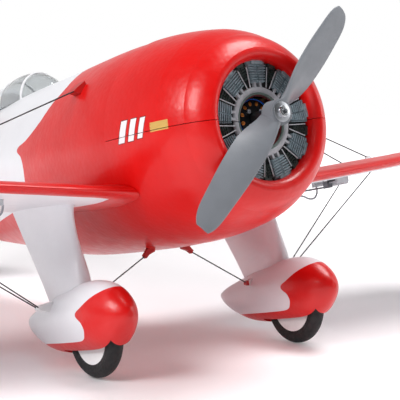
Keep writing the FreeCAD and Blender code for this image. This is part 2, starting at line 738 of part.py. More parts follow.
def lead(word, side):
    """Servo lead: out of its hole in the wing, one slack loop, and into the servo's end."""
    points = [Vector(side * out, aft, up) for out, aft, up in LEAD]
    edges, radii, start, length = [], [], points[0], 0.0
    for before, corner, after in zip(points, points[1:], points[2:]):
        back, ahead = (before - corner), (after - corner)
        shorter = min(back.Length, ahead.Length)
        back.normalize()
        ahead.normalize()
        half_turn = (math.pi - back.getAngle(ahead)) / 2
        trim = 0.45 * shorter
        radius = trim / math.tan(half_turn)
        radii.append(round(radius, 1))
        first, last = corner + back * trim, corner + ahead * trim
        inward = (back + ahead).normalize()
        reach = math.hypot(trim, radius) - radius
        edges.append(Part.LineSegment(start, first).toShape())
        edges.append(Part.Arc(first, corner + inward * reach, last).toShape())
        start = last
    edges.append(Part.LineSegment(start, points[-1]).toShape())
    path = Part.Wire(edges)
    heading = points[1] - points[0]
    circle = Part.Wire([Part.Circle(points[0], heading, val("lead")).toShape()])
    tube = path.makePipeShell([circle], True, True)
    length = path.Length
    print("lead", word, "length", round(length, 1), "radii", radii, "volume ratio",
          round(tube.Volume / (math.pi * val("lead") ** 2 * length), 3))
    sub_part("servo_lead_" + word, in_wing(side, feature("lead_" + word, tube)))


# ---------------------------------------------------------------- tail

def tail():
    """Stabiliser, elevator, fin and rudder, with the horns and rods that move them."""
    half, front, back = S["stab_half"], S["stab_front"], S["stab_back"]
    stab = [(-half, back - 8, 2.5), (-half + 12, back - 20), (-14, front), (14, front),
            (half - 12, back - 20, 2.5), (half, back - 8), (half, back), (-half, back)]
    sub_part("stabiliser", plate("stabiliser_sheet", "XY_Plane", stab, S["stab_thick"], S["stab_z"]))
    tip = S["elevator_back"]
    flap = [(7, ELEVATOR_Y), (half, ELEVATOR_Y), (half - 2, tip - 12, 4), (half - 16, tip),
            (19, tip), (13, tip - 12), (13, ELEVATOR_Y + 5.5), (7, ELEVATOR_Y + 3.5)]
    halves = [plate("elevator_half", "XY_Plane", flap, S["stab_thick"], S["stab_z"]) for _ in "ab"]
    halves[1].Placement = Placement(Vector(0, 0, val("stab_z")), Rotation(Vector(0, 1, 0), 180))
    joiner = cylinder("joiner", 0.85, 15, (-7.5, ELEVATOR_Y, S["stab_z"]), (1, 0, 0))
    sub_part("elevator", fuse("elevator_flaps", halves + [joiner]))

    axis, low, high = val("rudder_axis_y"), val("rudder_low"), val("rudder_high")
    rudder = [(axis, low), (axis + 10, low, 3), (axis + 25, low + 22, 2.2), (axis + 30, low + 48),
              (axis + 29, low + 70, 3), (axis + 17, high, 3), (axis, high)]
    fork = rod("fork", TAIL_FORK, 0.6)
    channel = rod("fork_channel", TAIL_FORK, 0.62)
    sub_part("rudder", cut("rudder_foam", plate("rudder_sheet", "YZ_Plane", rudder,
                                                S["rudder_thick"]), channel))
    sub_part("tail_wheel_leg", fork)
    front = val("fin_front")
    fin = [(front, 43.5), (300, 38), (329.5, 36.3), (329.5, high, 3), (310, high - 7, 1), (front, 58)]
    sub_part("fin", plate("fin_sheet", "YZ_Plane", fin, S["fin_thick"]))

    thick = val("horn_thick")
    lug = horn("elevator", val("elevator_arm"), thick, 1.5)
    lug.Placement = Placement(Vector(LINK_X + 1.6, ELEVATOR_Y, val("stab_z")), Rotation())
    sub_part("elevator_horn", lug)
    lug = horn("rudder", LINK_X, thick, 1.6)
    lug.Placement = Placement(Vector(0, axis, ROD_Z + 1.6), Rotation(Vector(0, 1, 0), 90))
    sub_part("rudder_horn", lug)
    base = ROD_Z - 4.9
    sub_part("elevator_servo", servo("elevator", LINK_X + 2, 130, base, 1))
    sub_part("elevator_pushrod", link("elevator", LINK_X + 2, 130, base, 1, ELEVATOR_Y))
    sub_part("rudder_servo", servo("rudder", -LINK_X + 2, 130, base, 1))
    sub_part("rudder_pushrod", rudder_link(base, axis))


def rudder_link(base, pin_y):
    """As the elevator's rod, but its bent end points up through the rudder's horn."""
    obj = link("rudder", -LINK_X + 2, 130, base, 1, pin_y - 6)
    end = rod("rudder_end", [(-LINK_X, pin_y - 8, base + 4.9), (-LINK_X, pin_y, base + 4.9),
                             (-LINK_X, pin_y, base + 8.1)], S["rod"])
    trim = box("rod_trim", (-LINK_X + 0.6, pin_y - 10, base), (-LINK_X + 6, pin_y - 3, base + 9))
    return fuse("rudder_rod", [cut("rudder_rod_run", obj, trim), end])


# ---------------------------------------------------------------- landing gear

def gear(wing_solids):
    spats = {}
    for side, word in ((1, "left"), (-1, "right")):
        mid = side * val("track_half")
        hole = side * val("track_half")
        spat_outer = sections("spat_" + word, "spat", SPAT, mid, 0.0, -1)
        well = cylinder("well", S["well_radius"], S["well_half"] * 2,
                        (hole - val("well_half"), S["wheel_y"], WHEEL_Z), (1, 0, 0))
        channel = rod("gear_channel", gear_wire(side), S["axle"] + 0.05)
        sub_part("spat_" + word, cut("spat_" + word + "_shell", spat_outer, well, channel))
        trouser = feature("trouser", loft([leg_section(mid, *row) for row in LEG]))
        channel = rod("leg_channel", gear_wire(side)[:2], S["axle"] + 0.05)
        sub_part("leg_" + word, cut("leg_" + word + "_foam", trouser, channel, wing_solids[side],
                                    spat_outer))
        sub_part("gear_wire_" + word, rod("gear_wire_" + word, gear_wire(side), S["axle"]))
        wheel(word, mid)
        spats[side] = spat_outer
    return spats


def leg_section(mid, height, front, chord, thick):
    return ring([(mid + across, front + aft, height) for aft, across in foil(chord, thick)])


def gear_wire(side):
    """Down behind the wheel space, forward along the inner wall, then out as the axle."""
    mid, low = side * val("track_half"), WHEEL_Z
    inner = mid - side * 7.1
    return [(mid, 92, -30), (mid, 88, -76), (inner, 84, low), (inner, val("wheel_y"), low),
            (mid + side * 8.8, val("wheel_y"), low)]


def wheel(word, mid):
    """Tyre and rim on their axle; both turn together."""
    rim, half = S["rim_radius"], S["wheel_half"]
    bore = S["axle"] + S["axle_play"]
    hub = [(bore, -half + 0.2), (bore + 2.4, -half + 0.2), (bore + 3.2, -half + 1.3),
           (rim - 1.5, -half + 1.3), (rim, -half + 0.8), (rim, half - 0.8),
           (rim - 1.5, half - 1.3), (bore + 3.2, half - 1.3), (bore + 2.4, half - 0.2), (bore, half - 0.2)]
    tyre = [(rim, -half + 0.8), (rim + 2.2, -half), (S["wheel_radius"] - 2.6, -half, 0),
            (S["wheel_radius"] - 2.6, half), (rim + 2.2, half), (rim, half - 0.8)]
    tyre[2] = (S["wheel_radius"] - 2.6, -half, 2.6)
    place = Placement(Vector(mid, val("wheel_y"), WHEEL_Z),
                      Rotation(Vector(0, 1, 0), Vector(1, 0, 0)))
    for label, corners in (("wheel_hub_" + word, hub), ("tyre_" + word, tyre)):
        body = spun(label + "_turned", corners)
        body.Placement = place
        sub_part(label, body)


def collars():
    """Brass collars on the axles, one each side of each wheel."""
    pieces = []
    long = 1.2
    near = val("wheel_half") - 0.05
    for side in (1, -1):
        for start in (near, -near - long):
            base = side * val("track_half") + start
            outer = cylinder("collar", 2.4, long, (base, S["wheel_y"], WHEEL_Z), (1, 0, 0))
            inner = cylinder("collar_bore", S["axle"] + 0.02, 4,
                             (base - 1, S["wheel_y"], WHEEL_Z), (1, 0, 0))
            pieces.append(cut("collar_ring", outer, inner))
    sub_part("wheel_collars", group("collars", pieces))


def tail_wheel():
    radius, half = S["tail_wheel_r"], S["tail_wheel_half"]
    corners = [(Size(0.65, "0.65"), -half + 0.1), (radius - 2.5, -half + 0.1), (radius - 2, -half),
               (radius - 1, -half, 1), (radius - 1, half), (radius - 2, half),
               (radius - 2.5, half - 0.1), (Size(0.65, "0.65"), half - 0.1)]
    body = spun("small_wheel", corners)
    body.Placement = Placement(Vector(0, val("tail_wheel_y"), TAIL_WHEEL_Z),
                               Rotation(Vector(0, 1, 0), Vector(1, 0, 0)))
    sub_part("tail_wheel", body)


# ---------------------------------------------------------------- canopy and rigging

def canopy(hull):
    def bubble(name, inset):
        obj = doc.addObject("Part::Ellipsoid", name)
        obj.Placement = Placement(Vector(0, val("canopy_y"), val("canopy_z")), Rotation())
        obj.Angle1, obj.Angle2 = -90, 90
        return bind(obj, Radius1=S["canopy_high"] - inset, Radius2=S["canopy_wide"] - inset,
                    Radius3=S["canopy_long"] - inset)

    shell = cut("canopy_shell", bubble("canopy_out", 0.0), bubble("canopy_in", val("canopy_wall")),
                box("canopy_floor", (-40, 150, 0), (40, 260, val("canopy_z"))), hull)
    sub_part("canopy", shell)
    tub = box("tub_out", (-10.2, 182.3, 30), (10.2, 224.7, 43.6))
    hollow = box("tub_in", (-9.2, 183.3, 31.2), (9.2, 223.7, 60))
    dash = box("dash", (-9.2, 188, 31.2), (9.2, 190, 44.5))
    seat = box("seat", (-8, 214, 31.2), (8, 217, 46))
    sub_part("cockpit_tub", fuse("tub", [cut("tub_shell", tub, hollow), dash, seat]))


def wing_point(side, x, aft, up):
    """Point on one wing given by its distance from the middle, aft, and height above the chord."""
    angle = math.radians(val("dihedral"))
    out = (x - val("wing_root_x")) / math.cos(angle)
    return (side * (val("wing_root_x") + out * math.cos(angle) - up * math.sin(angle)), aft,
            val("wing_root_z") + out * math.sin(angle) + up * math.cos(angle))


def wedge(points, aft, thick):
    """Thin foot of moulded plastic: an outline across the model, given some thickness aft."""
    corners = [Vector(x, aft - thick / 2, z) for x, z in points]
    face = Part.Face(Part.makePolygon(corners + corners[:1]))
    return feature("foot", face.extrude(Vector(0, thick, 0)))


def rigging(hull, wings, spats):
    """Straight bracing wires, and the small feet that hold their ends."""
    wires, channels, plan = [], [], []

    def wire(name, start, end):
        wires.append(rod(name, [start, end], S["wire"]))
        channels.append(rod(name + "_channel", [start, end], S["wire"] + 0.02))

    for side in (1, -1):
        for aft, up_low, up_top, hull_y, spat_y in ((WIRE_AFT[0], -2.9, 5.6, 83, 85.4),
                                                    (WIRE_AFT[1], -1.8, 4.6, 86.6, 87.6)):
            above = wing_point(side, 142.7, aft, up_top)
            wire("lower_wire", (side * 72, spat_y, -69.3), wing_point(side, 143, aft, up_low))
            wire("upper_wire", (side * 43.2, hull_y, 28.4), above)
            x, z = 142.7, above[2]
            plan.append((side, [(x - 3.2, z - 4.6), (x + 3.4, z - 3.8), (x + 1.2, z + 0.6),
                                (x - 1.2, z + 0.7)], aft, 2, wings[side]))
        wire("belly_wire", (side * 14, 84.4, -51.4), (side * 47.5, 86, -70))
        plan.append((side, [(36, 27), (38, 33), (42.6, 29.8), (44.4, 28.2), (41, 27)], 84.8, 6, hull))
        plan.append((side, [(7.5, -46), (10.5, -46), (14.6, -50.8), (13.4, -52.2), (11.5, -50.6),
                            (8.2, -49.4)], 84.4, 2.2, hull))
        plan.append((side, [(62, -66.5), (72.6, -68.4), (72.6, -70.2), (62, -72.5)], 86.5, 4.6,
                     spats[side]))
        plan.append((side, [(53, -67), (46.6, -69.2), (46.6, -70.8), (53, -73.4)], 86, 2.6,
                     spats[side]))
    feet = []
    for side, outline, aft, thick, base in plan:
        solid = wedge([(side * x, z) for x, z in outline], aft, thick)
        feet.append(cut("foot_cut", solid, base, *channels))
    sub_part("bracing_wires", group("wires", wires))
    sub_part("wire_feet", group("feet", feet))


# ---------------------------------------------------------------- build, check, write

def check():
    doc.recompute()
    bad = [item.Name for item in doc.Objects if "Invalid" in item.State or "Error" in item.State]
    if bad:
        raise RuntimeError("objects failed: " + ", ".join(bad))
    for label, item in PARTS.items():
        if item.Shape.isNull() or not item.Shape.isValid():
            raise RuntimeError("bad shape: " + label)


def write():
    os.makedirs("parts", exist_ok=True)
    for label, item in PARTS.items():
        item.Shape.exportStep("parts/" + label + ".step")
    print(len(PARTS), "sub-parts written")


def main():
    outer, slotted, inner = hull_solids()
    fuselage(slotted, inner)
    cowl()
    motor()
    propeller()
    firewall()
    equipment()
    solids = wings(outer)
    spar()
    lead("left", 1)
    lead("right", -1)
    tail()
    spats = gear(solids)
    collars()
    tail_wheel()
    canopy(outer)
    rigging(outer, solids, spats)
    check()
    write()


main()
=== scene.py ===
"""Looks of a foam racing monoplane: paint, printed engine, propeller, wheels and rigging.

Pieces are modelled in the flight frame, in millimetres: origin at the centre of the cowl's
opening, nose towards -Y, left wing towards +X, +Z up from the thrust line.  finish_piece()
then stands each one on the ground with the rest of the model, in metres.
"""
import json
import math

import bpy
from mathutils import Matrix, Vector


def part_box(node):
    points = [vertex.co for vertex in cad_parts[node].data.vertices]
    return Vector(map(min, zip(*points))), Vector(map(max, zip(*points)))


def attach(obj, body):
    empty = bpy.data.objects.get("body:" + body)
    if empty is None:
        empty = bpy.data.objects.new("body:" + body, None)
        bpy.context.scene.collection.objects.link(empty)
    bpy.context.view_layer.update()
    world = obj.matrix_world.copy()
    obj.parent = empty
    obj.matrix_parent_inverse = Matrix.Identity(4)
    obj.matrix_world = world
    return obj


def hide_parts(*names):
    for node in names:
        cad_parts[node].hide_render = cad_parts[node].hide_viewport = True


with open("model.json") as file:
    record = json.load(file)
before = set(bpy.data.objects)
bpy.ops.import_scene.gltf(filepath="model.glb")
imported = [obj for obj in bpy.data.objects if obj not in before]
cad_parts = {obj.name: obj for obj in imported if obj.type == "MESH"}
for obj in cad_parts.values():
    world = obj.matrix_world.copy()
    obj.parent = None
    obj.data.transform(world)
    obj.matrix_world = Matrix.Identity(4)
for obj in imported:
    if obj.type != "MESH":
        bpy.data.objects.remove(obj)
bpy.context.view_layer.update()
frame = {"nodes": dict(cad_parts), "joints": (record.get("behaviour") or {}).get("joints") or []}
SCENE = bpy.context.scene
JOINTS = {joint["name"]: joint for joint in frame["joints"]}
MM = 0.001

# The flight frame, read from where the propeller turns and where the hatch lifts.
SPIN = JOINTS["propeller_spin"]
AFT = -Vector(SPIN["axis"]).normalized()
UP = Vector(JOINTS["hatch_lift"]["axis"]).normalized()
SHAFT_UP = 1.8
PROP_AHEAD = 6.7
ORIGIN = Vector(SPIN["pos_m"]) + AFT * PROP_AHEAD * MM - UP * SHAFT_UP * MM
STAND = Matrix.Translation(ORIGIN) @ Matrix((
    (MM, 0, 0, 0), (0, AFT.y * MM, UP.y * MM, 0), (0, AFT.z * MM, UP.z * MM, 0), (0, 0, 0, 1)))
NOSE_UP = math.atan2(-AFT.z, AFT.y)

# The camera stands ahead and to the right, a little above the thrust line, and looks slightly down.
CAMERA_FROM_NOSE = Vector((-0.31341, -0.36988, 0.01167))
CAMERA_DOWN = 5.427
CAMERA_LEFT = 36.891
LENS = 101.85

# Paint: shades, the width of a masked edge, and the foam under it, in millimetres.
RED_LOW, RED_HIGH = "c60605", "d80c0a"
WHITE_LOW, WHITE_HIGH = "dddde2", "e8e8ec"
PAINT_EDGE = 0.12
BEAD_SIZE = 2.6
BEAD_DEPTH = 0.075

# Stickers on the cowl as (aft from, aft to, up from, up to); the bars lean as they rise.
STICKER_BARS = ((28, 31, -2, 6.6), (33.4, 37, -2.4, 6.9), (39.4, 43.4, -2.4, 7))
STICKER_PLATE = ((14, 23.5), (-0.6, 3.4))
BAR_LEAN = 0.3
BAR_RIM = 0.35
TAIL_HUB = 4.6

# Places of a Mix node's sockets: its two numbers, and its two colours.
NUMBER_A, NUMBER_B = 2, 3
COLOUR_A, COLOUR_B = 6, 7


# ---------------------------------------------------------------- camera, floor and light

def camera():
    data = bpy.data.cameras.new("camera")
    data.sensor_width = 36
    data.lens = LENS
    obj = bpy.data.objects.new("camera", data)
    SCENE.collection.objects.link(obj)
    obj.location = ORIGIN + CAMERA_FROM_NOSE
    obj.rotation_euler = (math.radians(90 - CAMERA_DOWN), 0, -math.radians(CAMERA_LEFT))
    SCENE.camera = obj


def softbox(name, place, aim, size, watts, colour=(1, 1, 1)):
    data = bpy.data.lights.new(name, "AREA")
    data.shape = "RECTANGLE"
    data.size, data.size_y = size
    data.energy = watts
    data.color = colour
    obj = bpy.data.objects.new(name, data)
    SCENE.collection.objects.link(obj)
    obj.location = place
    obj.rotation_euler = (Vector(aim) - Vector(place)).to_track_quat("-Z", "Y").to_euler()


def room():
    """White sweep behind the model, dark room beside and above it, soft boxes from the left."""
    SCENE.view_settings.view_transform = "Standard"
    world = bpy.data.worlds.new("room")
    world.use_nodes = True
    SCENE.world = world
    tree = world.node_tree
    tree.nodes.clear()
    ways = add(tree, "TexCoord")
    turned = add(tree, "Mapping", {"Vector": ways.outputs["Generated"],
                                   "Rotation": (0, 0, math.radians(36.9))}, vector_type="POINT")
    split = add(tree, "SeparateXYZ", {"Vector": turned})
    ahead = add(tree, "MapRange", {"Value": split.outputs["Y"], "From Min": -0.5, "From Max": 0.6,
                                   "To Min": 0.16, "To Max": 0.75}, interpolation_type="SMOOTHSTEP")
    height = add(tree, "MapRange", {"Value": split.outputs["Z"], "From Min": 0.1, "From Max": 0.75,
                                    "To Min": 1.0, "To Max": 0.3}, interpolation_type="SMOOTHSTEP")
    level = add(tree, "Math", {0: ahead, 1: height}, operation="MULTIPLY")
    rays = add(tree, "LightPath")
    seen = add(tree, "Mix", {"Factor": rays.outputs["Is Camera Ray"], NUMBER_A: level, NUMBER_B: 1.0})
    glow = add(tree, "Background", {"Color": (1, 1, 1, 1), "Strength": seen})
    out = add(tree, "OutputWorld")
    tree.links.new(glow.outputs["Background"], out.inputs["Surface"])
    aim = Vector((0, -0.11, 0.09))
    softbox("box_left", aim + Vector((-0.81, -0.15, 0.56)) * 1.1, aim, (0.45, 0.45), 9.0)
    softbox("box_top", aim + Vector((0.35, -0.11, 0.93)) * 1.1, aim, (0.6, 0.5), 11.0)
    softbox("box_right", (0.9, -0.55, 0.5), aim, (0.4, 0.6), 2.0)
    bpy.ops.object.select_all(action="DESELECT")
    bpy.ops.mesh.primitive_plane_add(size=8, location=(0, 0, -0.0002))
    floor = bpy.context.object
    floor.name = "studio_floor"
    floor.data.materials.append(floor_paper_painted_glow())


# ---------------------------------------------------------------- materials

def shade(code):
    """A colour written as sRGB hex, as the linear colour a shader takes."""
    parts = [int(code[place:place + 2], 16) / 255 for place in (0, 2, 4)]
    return tuple(p / 12.92 if p <= 0.04045 else ((p + 0.055) / 1.055) ** 2.4 for p in parts) + (1,)


def add(tree, kind, inputs=None, **settings):
    """Adds a node with its settings; an input is a plain value, a socket or a node to link from."""
    made = tree.nodes.new("ShaderNode" + kind)
    for name, value in settings.items():
        setattr(made, name, value)
    for name, value in (inputs or {}).items():
        if isinstance(value, bpy.types.Node):
            value = next(socket for socket in value.outputs if socket.enabled)
        if isinstance(value, bpy.types.NodeSocket):
            tree.links.new(value, made.inputs[name])
        else:
            made.inputs[name].default_value = value
    return made


def surface(name, **shader):
    """A material with one Principled shader; linked inputs are given as functions of the tree."""
    material = bpy.data.materials.new(name)
    material.use_nodes = True
    tree = material.node_tree
    tree.nodes.clear()
    inputs = {key.replace("_", " "): value(tree) if callable(value) else value
              for key, value in shader.items()}
    principled = add(tree, "BsdfPrincipled", inputs)
    out = add(tree, "OutputMaterial")
    tree.links.new(principled.outputs["BSDF"], out.inputs["Surface"])
    return material


def place_mm(tree):
    """Where a point lies in the flight frame, in millimetres."""
    for made in tree.nodes:
        if made.label == "flight frame":
            return made.outputs["Vector"]
    back = -(Matrix.Rotation(NOSE_UP, 3, "X") @ ORIGIN) / MM
    coords = add(tree, "TexCoord")
    return add(tree, "Mapping", {"Vector": coords.outputs["Object"], "Location": back,
                                 "Rotation": (NOSE_UP, 0, 0), "Scale": (1 / MM,) * 3},
               label="flight frame").outputs["Vector"]


def along(tree, letter):
    """How far a point lies along one axis of the flight frame, in millimetres."""
    return add(tree, "SeparateXYZ", {"Vector": place_mm(tree)}).outputs[letter]


def painted_past(tree, value, line, soft=PAINT_EDGE):
    """1 where a value is past a line and 0 before it, with the edge a painter's mask leaves."""
    past = add(tree, "Math", {0: value, 1: line}, operation="SUBTRACT")
    return add(tree, "MapRange", {"Value": past, "From Min": -soft, "From Max": soft})


def patches(tree, size, detail=3.0, stretch=(1, 1, 1)):
    """Cloudy pattern whose patches are about that many millimetres across."""
    spot = add(tree, "Mapping", {"Vector": place_mm(tree), "Scale": stretch})
    return add(tree, "TexNoise", {"Vector": spot, "Scale": 1 / size, "Detail": detail}).outputs["Fac"]


def mottled(code_low, code_high, size):
    """A colour that drifts between two near shades over patches of that many millimetres."""
    return lambda tree: add(tree, "Mix", {"Factor": patches(tree, size), COLOUR_A: shade(code_low),
                                          COLOUR_B: shade(code_high)}, data_type="RGBA")


def ranged(low, high, size, detail=3.0):
    """A number that drifts between two values over patches of that many millimetres."""
    return lambda tree: add(tree, "MapRange", {"Value": patches(tree, size, detail), "From Min": 0.3,
                                               "From Max": 0.7, "To Min": low, "To Max": high})


def grain(size, height, detail=2.0, stretch=(1, 1, 1)):
    """Fine roughness of a surface: patch size and height in millimetres."""
    return lambda tree: add(tree, "Bump", {"Height": patches(tree, size, detail, stretch),
                                           "Distance": height * MM, "Strength": 1.0})


def foam_skin(tree):
    """Moulded foam under paint: beads pressed into each other, with a fine orange peel."""
    beads = add(tree, "TexVoronoi", {"Vector": place_mm(tree), "Scale": 1 / BEAD_SIZE,
                                     "Randomness": 0.85}, feature="F1")
    peel = add(tree, "Bump", {"Height": patches(tree, 0.9), "Distance": 0.012 * MM, "Strength": 1.0})
    return add(tree, "Bump", {"Height": beads.outputs["Distance"], "Distance": BEAD_DEPTH * MM,
                              "Strength": 1.0, "Normal": peel}, invert=True)


def curve_of(tree, value, points):
    """A smooth line through points, read at a value: how a masked edge runs across a piece."""
    xs = [x for x, _ in points]
    ys = [y for _, y in points]
    low, high, base, top = min(xs), max(xs), min(ys), max(ys)
    inside = add(tree, "MapRange", {"Value": value, "From Min": low, "From Max": high})
    curve = add(tree, "FloatCurve", {"Value": inside})
    line = curve.mapping.curves[0]
    for x, y in points[1:-1]:
        line.points.new((x - low) / (high - low), (y - base) / (top - base))
    line.points[0].location = (0, (points[0][1] - base) / (top - base))
    line.points[-1].location = (1, (points[-1][1] - base) / (top - base))
    curve.mapping.update()
    return add(tree, "MapRange", {"Value": curve, "To Min": base, "To Max": top})


def painted_foam(name, colour, ior=1.45, coat=0.15, haze=0.12):
    """Expanded foam, sprayed in gloss enamel: a soft shine over pressed beads."""
    return surface(name, Base_Color=colour, Roughness=ranged(0.3, 0.4, 6), IOR=ior, Coat_Weight=coat,
                   Coat_Roughness=haze, Normal=foam_skin)


def red_and_white(white):
    """Red enamel, with white where the mask says so."""
    def colour(tree):
        red = mottled(RED_LOW, RED_HIGH, 14)(tree)
        pale = mottled(WHITE_LOW, WHITE_HIGH, 20)(tree)
        return add(tree, "Mix", {"Factor": white(tree), COLOUR_A: red, COLOUR_B: pale},
                   data_type="RGBA")

    return colour


def hull_white(tree):
    """White behind a scalloped line whose point lies at mid height on each side."""
    edge = curve_of(tree, along(tree, "Z"),
                    [(-52, 340), (-35, 330), (-26, 300), (-21, 205), (-14, 141), (-8, 139), (0, 138),
                     (5.4, 140.4), (10.4, 146.3), (13.1, 135), (18.9, 121.8), (28, 112), (35, 106.5),
                     (42, 108), (50, 116)])
    return painted_past(tree, along(tree, "Y"), edge)


def spat_white(tree):
    """Red nose and sole, with a point of white reaching forward at mid height."""
    edge = curve_of(tree, along(tree, "Z"),
                    [(-92, 124), (-87, 110), (-85.6, 74), (-84.8, 59), (-82, 54.8), (-77.6, 54.6),
                     (-73.2, 58.9), (-70.4, 54.9), (-65.2, 46.3), (-61.5, 37.4), (-59, 25)])
    return painted_past(tree, along(tree, "Y"), edge)


def wing_white(tree):
    """Scallops run back from a red leading edge; the underside is white but for nose and root."""
    out = add(tree, "Math", {0: along(tree, "X")}, operation="ABSOLUTE")
    top = curve_of(tree, out, [(35, 88), (60, 78), (80, 70), (95, 76), (118, 66), (134, 62), (150, 69),
                               (172, 60), (190, 57), (206, 64), (228, 57), (250, 54)])
    swept = add(tree, "Math", {0: out, 1: -0.02}, operation="MULTIPLY")
    nose = add(tree, "Math", {0: swept, 1: 50.5}, operation="ADD")
    root = add(tree, "Math", {0: painted_past(tree, 52.0, out), 1: 80.0}, operation="MULTIPLY")
    under = add(tree, "Math", {0: nose, 1: root}, operation="ADD")
    facing = add(tree, "NewGeometry")
    lifted = add(tree, "SeparateXYZ", {"Vector": facing.outputs["Normal"]}).outputs["Z"]
    line = add(tree, "Mix", {"Factor": painted_past(tree, lifted, 0.0, 0.05), NUMBER_A: under,
                             NUMBER_B: top})
    return painted_past(tree, along(tree, "Y"), line)


def tail_white(tree):
    """A red leading edge on the stabiliser, following its sweep."""
    out = add(tree, "Math", {0: along(tree, "X")}, operation="ABSOLUTE")
    edge = curve_of(tree, out, [(0, 296), (14, 296), (40, 300), (60, 306), (70, 312), (80, 316)])
    return painted_past(tree, along(tree, "Y"), edge)


def fin_white(tree):
    """Red along the top of the fin and rudder, with a scooped edge."""
    edge = curve_of(tree, along(tree, "Y"), [(262, 54), (285, 60), (305, 66), (331, 60), (345, 54),
                                             (362, 48)])
    return painted_past(tree, edge, along(tree, "Z"))


def within(tree, value, low, high):
    """1 between two values and 0 outside them."""
    return add(tree, "Math", {0: painted_past(tree, value, low), 1: painted_past(tree, high, value)},
               operation="MULTIPLY")


def sticker(tree, under, code, aft, up, aft_range, up_range):
    """Lays a plain patch of one colour over another, on the right side only."""
    side = painted_past(tree, 0.0, along(tree, "X"))
    patch = add(tree, "Math", {0: within(tree, aft, *aft_range), 1: within(tree, up, *up_range)},
                operation="MULTIPLY")
    shown = add(tree, "Math", {0: patch, 1: side}, operation="MULTIPLY")
    return add(tree, "Mix", {"Factor": shown, COLOUR_A: under, COLOUR_B: shade(code)}, data_type="RGBA")


def cowl_colour(tree):
    """Red enamel with plain stickers on the right cheek: slanted bars and a small gilt plate."""
    aft, up = along(tree, "Y"), along(tree, "Z")
    lean = add(tree, "Math", {0: up, 1: BAR_LEAN}, operation="MULTIPLY")
    slant = add(tree, "Math", {0: aft, 1: lean}, operation="ADD")
    colour = mottled(RED_LOW, RED_HIGH, 14)(tree)
    for low, high, base, top in STICKER_BARS:
        colour = sticker(tree, colour, "5c0a0c", slant, up, (low - BAR_RIM, high + BAR_RIM),
                         (base - BAR_RIM, top + BAR_RIM))
        colour = sticker(tree, colour, "eceaec", slant, up, (low, high), (base, top))
    return sticker(tree, colour, "c9a45a", aft, up, *STICKER_PLATE)


def all_white(tree):
    return 1.0


def foot_colour(tree):
    """Wire feet are moulded in the colour of what they sit on: red near the fuselage."""
    out = add(tree, "Math", {0: along(tree, "X")}, operation="ABSOLUTE")
    return add(tree, "Mix", {"Factor": painted_past(tree, out, 48.0), COLOUR_A: shade("b01210"),
                             COLOUR_B: shade("e9e9ea")}, data_type="RGBA")


def floor_paper_painted_glow():
    """Matt background paper made to glow: painted light, faint close to the model and bright farther
    out, so that the floor runs into the white behind it.
    """
    def glow(tree):
        coords = add(tree, "TexCoord").outputs["Object"]
        reach = add(tree, "VectorMath", {0: coords}, operation="LENGTH").outputs["Value"]
        return add(tree, "MapRange", {"Value": reach, "From Min": 0.3, "From Max": 0.85, "To Min": 0.06,
                                      "To Max": 0.9}, interpolation_type="SMOOTHSTEP")

    return surface("white_floor_paper_painted_glow", Base_Color=mottled("f6f2f4", "fbf7f9", 180), Roughness=0.42,
                   Specular_IOR_Level=0.35, Emission_Color=(1, 0.985, 0.99, 1), Emission_Strength=glow)


def carbon(tree):
    """Dark strands running slantwise, as in a pultruded tube."""
    weave = add(tree, "TexWave", {"Vector": place_mm(tree), "Scale": 0.5, "Distortion": 0.4},
                wave_type="BANDS", bands_direction="DIAGONAL")
    return add(tree, "Mix", {"Factor": weave.outputs["Fac"], COLOUR_A: shade("121314"),
                             COLOUR_B: shade("2b2d30")}, data_type="RGBA")


def plies(tree):
    """Birch plywood: grain drawn out along the sheet."""
    return add(tree, "Mix", {"Factor": patches(tree, 3.0, 4.0, (0.25, 1, 1)), COLOUR_A: shade("b98f5c"),
                             COLOUR_B: shade("e0c194")}, data_type="RGBA")


def strap_weave(tree):
    """Crossed threads, drawn about 3 mm wide so that they show."""
    threads = add(tree, "TexWave", {"Vector": place_mm(tree), "Scale": 1.1}, bands_direction="X")
    across = add(tree, "TexWave", {"Vector": place_mm(tree), "Scale": 1.1}, bands_direction="Z")
    return add(tree, "Math", {0: threads.outputs["Fac"], 1: across.outputs["Fac"]},
               operation="MULTIPLY")


def braid_height(tree):
    """Slanting strands of a braided cord."""
    return add(tree, "TexWave", {"Vector": place_mm(tree), "Scale": 0.9, "Distortion": 0.6},
               bands_direction="DIAGONAL").outputs["Fac"]


def relief(pattern, height):
    """A pattern raised from the surface by that many millimetres."""
    return lambda tree: add(tree, "Bump", {"Height": pattern(tree), "Distance": height * MM,
                                           "Strength": 1.0})


def board_colour(tree):
    """Green solder mask, with darker squares where chips are pressed on."""
    cells = add(tree, "TexVoronoi", {"Vector": place_mm(tree), "Scale": 0.32, "Randomness": 0.35},
                distance="CHEBYCHEV").outputs["Distance"]
    chip = painted_past(tree, 0.34, cells, 0.02)
    return add(tree, "Mix", {"Factor": chip, COLOUR_A: shade("1c5a39"), COLOUR_B: shade("15171a")},
               data_type="RGBA")


def wheel_colour(tree):
    """Tail wheel in one moulding: white in the middle, black foam outside."""
    low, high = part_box("tail_wheel")
    middle = (low + high) / 2
    coords = add(tree, "TexCoord").outputs["Object"]
    away = add(tree, "VectorMath", {0: coords, 1: middle}, operation="SUBTRACT")
    flat = add(tree, "VectorMath", {0: away, 1: (0, 1, 1)}, operation="MULTIPLY")
    reach = add(tree, "VectorMath", {0: flat}, operation="LENGTH").outputs["Value"]
    out = add(tree, "Math", {0: reach, 1: 1 / MM}, operation="MULTIPLY")
    return add(tree, "Mix", {"Factor": painted_past(tree, out, TAIL_HUB), COLOUR_A: shade("ececee"),
                             COLOUR_B: shade("1b1b1c")}, data_type="RGBA")


